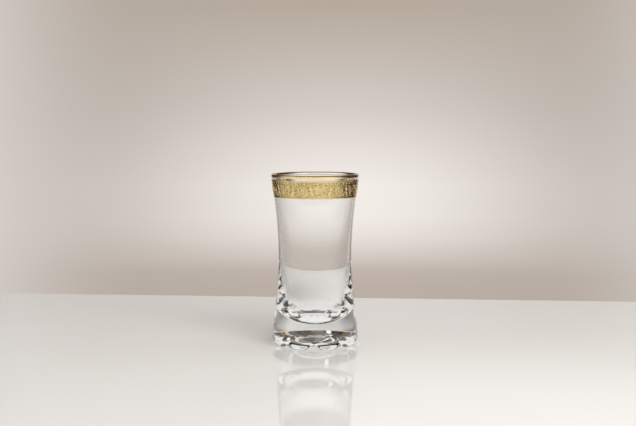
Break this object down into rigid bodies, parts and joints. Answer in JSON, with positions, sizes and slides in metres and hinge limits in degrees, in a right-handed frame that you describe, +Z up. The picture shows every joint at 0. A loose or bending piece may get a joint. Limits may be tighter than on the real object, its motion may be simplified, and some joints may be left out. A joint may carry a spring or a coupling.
{
  "type": "tea glass",
  "caption": "Tall waisted clear tea glass with a flared mouth, a heavy lobed base, a gilded lip and a wide gilded band.",
  "frame": {"origin": "on the axis of the glass, on the plane that the lobes of the base stand on", "axes": "+Z up along the axis of the glass; an arch between two lobes faces -Y, the side seen in the picture"},
  "size_m": [0.0584, 0.0584, 0.1139],
  "materials": {
    "clear_glass": "clear, colourless, fire-polished",
    "bright_gold": "polished fired gold",
    "matt_gold": "satin fired gold with fine relief"
  },
  "bodies": {
    "root": {"glass_body": "clear_glass", "rim_gilding": "bright_gold", "band_gilding": "matt_gold", "band_upper_line": "bright_gold", "band_lower_line": "bright_gold", "band_dots": "bright_gold"}
  },
  "joints": []
}
